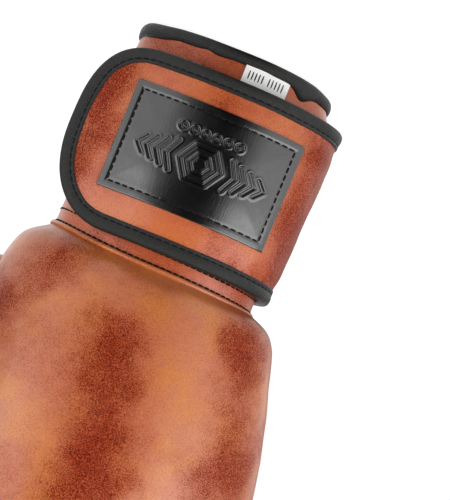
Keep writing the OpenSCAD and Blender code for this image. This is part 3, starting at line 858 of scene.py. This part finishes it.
def build_label():
    """A woven size label with ten tally marks, from the rim to under the strap's edge."""
    near, far = -25.0, -5.0

    def on_cuff(px, pz, lift):
        """A point in front of the cuff's back, on a cloth that curls a little."""
        w, d = mix(RIM_W, SEAM_W, pz / SEAM_Z), mix(RIM_D, SEAM_D, pz / SEAM_Z)
        curl = 0.12 * np.sin((px - near) / (far - near) * np.pi * 1.5)
        y = -d * (1 - np.abs(px / w) ** OVAL) ** (1 / OVAL)
        return np.stack([px, y - 0.9 - curl - lift, pz + 0 * px], -1)

    px, pz = np.meshgrid(np.linspace(near, far, 24), np.linspace(4.5, 23, 16))
    points, faces = sheet(on_cuff(px, pz, 0.4), on_cuff(px, pz, 0.0))
    label = add_piece("size_label_cloth", points, faces, label_cloth)
    at = np.add.outer((near + 2.7, near + 11.6), np.arange(5) * 1.5).ravel()
    starts, ends = on_cuff(at, 7.0, 0.4), on_cuff(at, 11.2, 0.4)
    out = np.tile([0.0, -1.0, 0.0], (len(at), 1))
    marks = add_stitches("size_label_marks", starts, ends, out, 0.75, 0.25)
    return label, marks


# ---------------- strap

# angles round the cuff: the sewn end, the three hinges, and where the strap leaves the cuff
ANCHOR, PALM_HINGE, CORNER_HINGE, BACK_HINGE, WRAP_END = 48.0, 66.0, 139.0, 213.0, 288.0
END_RUN = 32.0  # length of the free end's curve
END_LOW, END_HIGH = 2.8, 2.3  # exponents of its curve on the rim side and on the fist side
BINDING_W = 6.5
STITCH_IN = BINDING_W - 1.6  # from the strap's edge to its stitches
STITCH_STEP = 3.3  # from one of its stitches to the next
SWELL = 0.9  # how far the pad swells the leather inside the binding
FREE_X = 54.5  # where the free end stops


def strap_path():
    """The strap's line on its inner face: distance along it, points, outward normals and angles."""
    angles = np.arange(ANCHOR, WRAP_END + 0.1, 0.5)
    points, normals = oval(angles, STRAP_W, STRAP_D), oval_normal(angles, STRAP_W, STRAP_D)
    end, normal = points[-1], normals[-1]
    along = np.array([-normal[1], normal[0]])
    length = (FREE_X - end[0] - normal[0] * STRAP_T) / along[0]
    steps = np.arange(1, 21)[:, None] / 20 * length
    points = np.vstack([points, end + along * steps])
    normals = np.vstack([normals, np.tile(normal, (20, 1))])
    return run_along(points), points, normals, angles


path_run, path_points, path_normals, path_angles = strap_path()
STRAP_L = path_run[-1]


def run_at(angle):
    """Distance along the strap at an angle round the cuff."""
    return float(np.interp(angle, path_angles, path_run[: len(path_angles)]))


def edge_inset(s, z):
    """Distance in from the strap's edge."""
    n = np.where(z < STRAP_MID, END_LOW, END_HIGH)
    u = np.maximum(s - (STRAP_L - END_RUN), 0) / END_RUN
    v = np.abs(z - STRAP_MID) / (STRAP_H / 2)
    reach = np.maximum((u**n + v**n) ** (1 / n), 1e-6)
    slope = np.hypot((u / reach) ** (n - 1) / END_RUN, (v / reach) ** (n - 1) / (STRAP_H / 2))
    return (1 - reach) / np.maximum(slope, 1e-9)


def on_strap(s, z, lift):
    """Points on the strap, lift above its outer face, where the pad makes it swell a little."""
    s, z, lift = np.broadcast_arrays(np.asarray(s, float), np.asarray(z, float), np.asarray(lift, float))
    x, y, nx, ny = [np.interp(s, path_run, row) for row in (*path_points.T, *path_normals.T)]
    size = np.hypot(nx, ny)
    swell = SWELL * smooth((edge_inset(s, z) - BINDING_W + 1) / 9)
    sunk = 2.4 * (1 - smooth(s / 14))
    corner = hump(s, run_at(185), 26)
    flared = corner * (0.4 + 1.5 * (STRAP_MID - z) / (STRAP_H / 2))
    raised = STRAP_T + lift + np.where(lift > -2, swell, 0) - sunk + flared
    return np.stack([x + nx / size * raised, y + ny / size * raised, z], -1)


def end_curve(n, sign):
    """Half of the free end's edge, from its straight side to its tip, with inward normals."""
    t = np.radians(np.arange(87, -0.5, -3))
    s = END_RUN * np.cos(t) ** (2 / n)
    z = STRAP_H / 2 * np.sin(t) ** (2 / n)
    tall = sign * np.sin(t) ** (2 - 2 / n) / (STRAP_H / 2)
    outward = unit(np.stack([np.cos(t) ** (2 - 2 / n) / END_RUN, tall], -1))
    return np.column_stack([STRAP_L - END_RUN + s, STRAP_MID + sign * z, -outward])


def strap_edges(start, end, rounded):
    """The strap's edge as lists of (s, z, inward s, inward z)."""
    straight = end - END_RUN if rounded else end
    s = np.append(np.arange(start, straight, 1.2), straight)
    one = np.ones_like(s)
    lower, upper = [np.stack([s, one * z, one * 0, one * inward], -1)
                    for z, inward in ((STRAP_Z0, 1), (STRAP_Z1, -1))]
    if not rounded:
        return [lower, upper]
    return [np.vstack([lower, end_curve(END_LOW, -1), end_curve(END_HIGH, 1)[-2::-1], upper[::-1]])]


def build_strap_leather(tag, start, end, rounded, closed_start):
    """Leather on the strap's outer face and lining on its inner face."""
    inset = 1.5
    straight = end - END_RUN if rounded else end
    s = np.append(np.arange(start, straight, 1.5), straight)
    if rounded:
        s = np.append(s, straight + (END_RUN - inset) * np.sin(np.radians(np.arange(4, 91, 4))))
    over = np.clip((s - straight) / (END_RUN - inset), 0, 1) if rounded else 0 * s
    low, high = [(STRAP_H / 2 - inset) * (1 - over**n) ** (1 / n) for n in (END_LOW, END_HIGH)]
    z = mix(STRAP_MID - low, STRAP_MID + high, np.linspace(0, 1, 45)[:, None])
    s = np.broadcast_to(s, z.shape)
    flat = on_strap(s, z, 0.0).reshape(-1, 3)
    ripple = (0.35 * wobble(flat, 16, 1.0) + 0.12 * wobble(flat, 5, 2.0)).reshape(z.shape)
    outer = on_strap(s, z, ripple * smooth((edge_inset(s, z) - BINDING_W) / 4))
    points, faces = sheet(outer, on_strap(s, z, -STRAP_T))
    slots = np.repeat([0, 1], len(faces) // 2).tolist()
    rows, cols = z.shape
    if closed_start:
        for a in range(0, (rows - 1) * cols, cols):
            faces.append((a, a + cols, (rows + 1) * cols + a, rows * cols + a))
            slots.append(0)
    return add_piece(f"strap_leather_{tag}", points, faces, strap_leather, lining_cloth, face_slots=slots)


def build_strap_binding(tag, edges):
    """The tape folded over the strap's edge: (inset, lift) steps from the front round to the back."""
    w, t = BINDING_W, STRAP_T
    profile = [(w + 0.1, -0.3), (w, 0.45), (w - 0.3, 0.7), (w - 1.0, 0.7), (STITCH_IN, 0.4), (w - 2.2, 0.7),
               (3.0, 1.0), (1.8, 1.0), (0.8, 0.75), (0.2, 0.2), (-0.1, -t / 2), (0.2, -0.2 - t),
               (1.0, -0.6 - t), (w - 0.5, -0.7 - t), (w, 0.1 - t)]
    points, faces = [], []
    for edge in edges:
        faces += grid_faces(len(profile), len(edge), start=len(points))
        wave = wobble(np.column_stack([edge[:, :2], 0 * edge[:, 0]]), 11, 6.0)
        for across, lift in profile:
            front = lift > -t / 2
            inward = across + 0.22 * wave * front * (across > 3)
            s, z = edge[:, 0] + edge[:, 2] * inward, edge[:, 1] + edge[:, 3] * inward
            swollen = SWELL * smooth((inward - w + 1) / 9) * front
            points.extend(on_strap(s, z, lift - swollen + 0.12 * wave * front))
    binding = add_piece(f"strap_binding_{tag}_tape", points, faces, binding_tape)
    face_outwards(binding)
    return binding


def stitches_on_strap(name, starts, ends, lift, width, height):
    """Stitches between (s, z) places on the strap's outer face."""
    middle = mix(starts, ends, 0.5).T
    up = on_strap(*middle, 1.0) - on_strap(*middle, 0.0)
    return add_stitches(name, on_strap(*starts.T, lift), on_strap(*ends.T, lift), up, width, height)


def build_strap_stretch(tag, start, end, rounded=False, closed_start=False):
    """One stretch of the strap: leather and lining, edge binding and its stitches."""
    leather = build_strap_leather(tag, start, end, rounded, closed_start)
    edges = strap_edges(start, end, rounded)
    binding = build_strap_binding(tag, edges)
    rows = [evenly(edge[:, :2] + edge[:, 2:] * STITCH_IN, STITCH_STEP) for edge in edges]
    half = np.vstack([heading(row) * 1.4 for row in rows])
    rows = np.vstack(rows)
    stitches = stitches_on_strap(f"strap_stitches_{tag}", rows - half, rows + half, 0.5, 0.95, 0.4)
    return [leather, binding, stitches]


def bend_strap(objs, hinge):
    """Finds points on the strap either side of the hinge at this angle round the cuff, and bakes the strap's
    pieces' placement into their meshes.
    """
    reach = 11.0
    start, end = on_strap(run_at(hinge) + np.array([-reach, reach]), STRAP_MID, -STRAP_T / 2)
    bend(objs)


def build_anchor_stitches():
    """Box stitch that holds the strap's sewn end beside the slit."""
    near, far = 4.0, 15.0
    low, high = STRAP_Z0 + 10, STRAP_Z1 - 10
    row = evenly([(near, low), (far, low), (far, high), (near, high), (near, low)], STITCH_STEP)
    return stitches_on_strap("anchor_thread", row[:-1], mix(row[:-1], row[1:], 0.78), 0.1, 0.8, 0.45)


# ---------------- patch and its emblem

PATCH_H = patch_high[2] - patch_low[2] + 0.5
PATCH_L = 71.5
PATCH_X = patch_high[0] + 0.15  # where the patch ends on the thumb side
PATCH_Z = STRAP_MID - 1.2 - PATCH_H / 2  # its lower edge
PATCH_SEAM = 3.4  # from its edge to its stitches


def patch_start():
    """Distance along the strap at which the patch starts, so that it ends at PATCH_X."""
    s = np.arange(0, STRAP_L, 0.5)
    x, y = [np.interp(s, path_run, column) for column in path_points.T]
    return s[(y < 0) & (x < PATCH_X)][-1] - PATCH_L


PATCH_S = patch_start()


def segment(px, py, ax, ay, bx, by):
    """Distance from each point to the line a-b."""
    dx, dy = bx - ax, by - ay
    k = np.clip(((px - ax) * dx + (py - ay) * dy) / (dx * dx + dy * dy), 0, 1)
    return np.hypot(px - ax - k * dx, py - ay - k * dy)


def emblem_height(u, v):
    """Pressed lines of a plain emblem: hexagons with slanted bars at both sides and six rings."""
    near = np.full_like(u, 99.0)
    for radius in (8.4, 4.4):
        turns = np.radians(np.arange(0, 361, 60))
        corners = np.stack([radius * np.cos(turns), radius * np.sin(turns)], -1)
        for a, b in zip(corners, corners[1:]):
            near = np.minimum(near, segment(u, v, *a, *b))
    for side in (-1, 1):
        for i, tall in enumerate((6.6, 5.6, 4.6, 3.6)):
            x = side * (12.6 + 4.0 * i)
            near = np.minimum(near, segment(u, v, x - side * 1.6, -tall, x + side * 1.6, 0))
            near = np.minimum(near, segment(u, v, x + side * 1.6, 0, x - side * 1.6, tall))
    for i in range(6):
        near = np.minimum(near, np.abs(np.hypot(u - (i - 2.5) * 4.6, v + 12.8) - 1.2) + 0.15)
    pressed = 1 - smooth((near - 0.35) / 0.5)
    raised = hump(near, 1.25, 0.45)
    return 0.16 * raised - 0.75 * pressed


def build_patch():
    """The patch, with its pressed seam and emblem, and its row of stitches."""
    u, v = np.meshgrid(np.linspace(0, PATCH_L, 340), np.linspace(0, PATCH_H, 225))
    inset = np.minimum(np.minimum(u, PATCH_L - u), np.minimum(v, PATCH_H - v))
    groove = -0.22 * hump(inset, PATCH_SEAM, 0.6)
    crown = 0.15 * smooth((inset - PATCH_SEAM) / 12)
    flat = np.stack([u.ravel(), v.ravel(), 0 * u.ravel()], -1)
    ripple = 0.1 * wobble(flat, 16, 4.0).reshape(u.shape)
    turned = -0.2 * (1 - smooth(inset / 0.5))
    height = 1.05 + groove + crown + ripple + turned
    height = height + emblem_height(u - PATCH_L / 2, v - PATCH_H / 2 - 1.0)
    s, z = PATCH_S + u, PATCH_Z + v
    top = on_strap(s, z, height).reshape(-1, 3)
    rows, cols = u.shape
    number = np.arange(rows * cols).reshape(u.shape)
    border = np.concatenate([number[0], number[1:, -1], number[-1, -2::-1], number[-2:0:-1, 0]]).tolist()
    skirt = on_strap(s, z, -0.2).reshape(-1, 3)[border]
    faces = grid_faces(rows, cols)
    for i, a in enumerate(border):
        j = (i + 1) % len(border)
        faces.append((a, len(top) + i, len(top) + j, border[j]))
    patch = add_piece("patch_leather", np.vstack([top, skirt]), faces, patch_leather)
    face_outwards(patch)
    near, far, low, high = PATCH_SEAM, PATCH_L - PATCH_SEAM, PATCH_SEAM, PATCH_H - PATCH_SEAM
    corners = np.array([(near, low), (far, low), (far, high), (near, high)]) + [PATCH_S, PATCH_Z]
    starts, ends = [], []
    for a, b in zip(corners, np.roll(corners, -1, 0)):
        count = int(round(np.linalg.norm(b - a) / STITCH_STEP))
        for i in range(count):
            starts.append(mix(a, b, (i + 0.12) / count))
            ends.append(mix(a, b, (i + 0.88) / count))
    thread = stitches_on_strap("patch_thread", np.array(starts), np.array(ends), 0.95, 0.8, 0.5)
    return patch, thread


# ---------------- build the glove

fist = build_fist()
palm_piping, palm_stitches = build_palm_seam(fist)
thumb, thumb_seam_path = build_thumb()
thumb_path, _ = lie_on(thumb, evenly(thumb_seam_path, 2.5), 0.35)
thumb_piping = add_piece("thumb_piping", *tube(thumb_path, 1.25), body_leather)
tie = build_tie(fist, thumb)
bend([fist, palm_piping, palm_stitches])
bend([thumb, thumb_piping])
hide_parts("back_panel", "palm_panel", "outer_foam", "middle_foam", "inner_foam", "palm_foam")
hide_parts("palm_welt")
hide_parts("thumb_outer_panel", "thumb_inner_panel", "thumb_foam", "thumb_lining")
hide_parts("thumb_tie")

cuff = build_cuff()
rim_binding = build_rim_binding()
wrist_piping, wrist_stitches = build_wrist_seam()
label, label_marks = build_label()
for piece in (cuff, rim_binding, wrist_piping, wrist_stitches, label, label_marks):
    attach(piece, "cuff")
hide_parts("cuff_shell", "cuff_foam", "cuff_lining")
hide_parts("cuff_binding")
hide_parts("wrist_welt")
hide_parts("wrist_stitches")
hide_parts("size_label")

palm_middle = run_at((PALM_HINGE + CORNER_HINGE) / 2)
side_middle = run_at((CORNER_HINGE + BACK_HINGE) / 2)
stretch_palm = build_strap_stretch("palm", 0.0, palm_middle, closed_start=True)
anchor_thread = build_anchor_stitches()
stretch_side = build_strap_stretch("side", palm_middle, side_middle)
stretch_front = build_strap_stretch("front", side_middle, STRAP_L, rounded=True)
patch, patch_thread = build_patch()
bend_strap(stretch_palm + [anchor_thread], PALM_HINGE)
bend_strap(stretch_side, CORNER_HINGE)
bend_strap(stretch_front + [patch, patch_thread], BACK_HINGE)
for tag, pieces in (("palm", stretch_palm), ("side", stretch_side), ("front", stretch_front)):
    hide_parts(f"strap_shell_{tag}", f"strap_pad_{tag}", f"strap_lining_{tag}")
    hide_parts(f"strap_binding_{tag}")
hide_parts("strap_anchor")
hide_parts("anchor_stitches")
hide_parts("strap_stitches")
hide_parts("leather_patch")
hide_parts("patch_stitches")

for node, material in (
    ("hand_lining", lining_cloth),
    ("grip_bar", lining_cloth),
    ("slit_gusset", elastic),
    ("loop_panel", loop_pile),
    ("hook_panel", hook_pile),
):
    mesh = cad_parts[node].data
    mesh.materials.clear()
    mesh.materials.append(material)


# ---------------- floor, light and camera


def build_floor():
    """White to the camera; a grey floor to the glove, which mirrors a soft light at both its sides."""
    size = 3000.0
    points = [(-size, -size, 0), (size, -size, 0), (size, size, 0), (-size, size, 0)]
    m = Shader("pale_floor")
    path = m.node("LightPath").outputs
    seen, mirrored = path["Is Camera Ray"], path["Is Glossy Ray"]
    speck = m.step(m.noise(60, 3), 0.3, 0.7, 0.22, 0.24)
    speck = m.times(speck, m.maths("SUBTRACT", 1.0, mirrored))
    colour = m.node("CombineColor", Red=speck, Green=speck, Blue=speck).outputs["Color"]
    split = m.node("SeparateXYZ", Vector=m.coords).outputs
    ahead = m.maths("MAXIMUM", m.maths("ABSOLUTE", split["Y"]), 0.02)
    aside = m.maths("ABSOLUTE", m.plus(m.maths("DIVIDE", split["X"], ahead), 0.12))
    lit = m.step(aside, 0.1, 0.75, 0.0, 1.5)
    glow = m.node("Mix", i0=mirrored, i2=0.2, i3=lit).outputs[0]
    shown = m.node("Mix", i0=seen, i2=glow, i3=0.93).outputs[0]
    material = m.finish(Base_Color=colour, Roughness=0.8, Specular_IOR_Level=0.1,
                        Emission_Color=(1, 1, 1, 1), Emission_Strength=shown)
    add_piece("floor", points, [(0, 1, 2, 3)], material)


def build_world():
    """White to the camera; to the glove, pale behind and dim in front."""
    m = Shader("studio", world=True)
    behind = m.node("SeparateXYZ", Vector=m.coords).outputs["Y"]
    pale = m.node("MapRange", Value=behind, From_Min=-0.6, From_Max=0.6, To_Min=0.04, To_Max=0.5)
    seen = m.node("LightPath").outputs["Is Camera Ray"]
    shown = m.node("Mix", i0=seen, i2=pale.outputs["Result"], i3=1.0).outputs[0]
    bpy.context.scene.world = m.finish(Color=(1, 1, 1, 1), Strength=shown)


def add_softbox(name, place, size, power):
    """A rectangular lamp, aimed at the middle of the strap and fist."""
    data = bpy.data.lights.new(name, "AREA")
    data.shape = "RECTANGLE"
    data.size, data.size_y = size
    data.energy = power
    light = bpy.data.objects.new(name, data)
    light.location = place
    aim = Vector((0, 0, 0.12)) - light.location
    light.rotation_euler = aim.to_track_quat("-Z", "Y").to_euler()
    bpy.context.scene.collection.objects.link(light)


def build_camera():
    """Looks at the back of the hand from a little towards the knuckles, rolled so the cuff is at the top."""
    distance, seen_width = 1.2, 0.2125
    rise, roll = math.radians(6), math.radians(22)
    target = Vector((-0.0256, 0.0, 0.0774))
    back = Vector((0, -math.cos(rise), math.sin(rise)))
    up_hint = Vector((math.sin(roll), 0, -math.cos(roll)))
    right = up_hint.cross(back).normalized()
    up = back.cross(right)
    data = bpy.data.cameras.new("camera")
    data.lens = data.sensor_width * distance / seen_width
    camera = bpy.data.objects.new("camera", data)
    turn = Matrix((right, up, back)).transposed()
    camera.matrix_world = Matrix.Translation(target + back * distance) @ turn.to_4x4()
    bpy.context.scene.collection.objects.link(camera)
    bpy.context.scene.camera = camera


build_floor()
build_world()
add_softbox("left_box", (0.51, -0.56, 0.32), (0.8, 1.0), 6.4)
add_softbox("right_box", (-0.61, -0.52, 0.32), (0.8, 1.0), 9.0)
add_softbox("rear_box", (0.2, 1.15, 0.8), (1.2, 0.8), 6.5)
build_camera()
bpy.context.scene.view_settings.view_transform = "Standard"
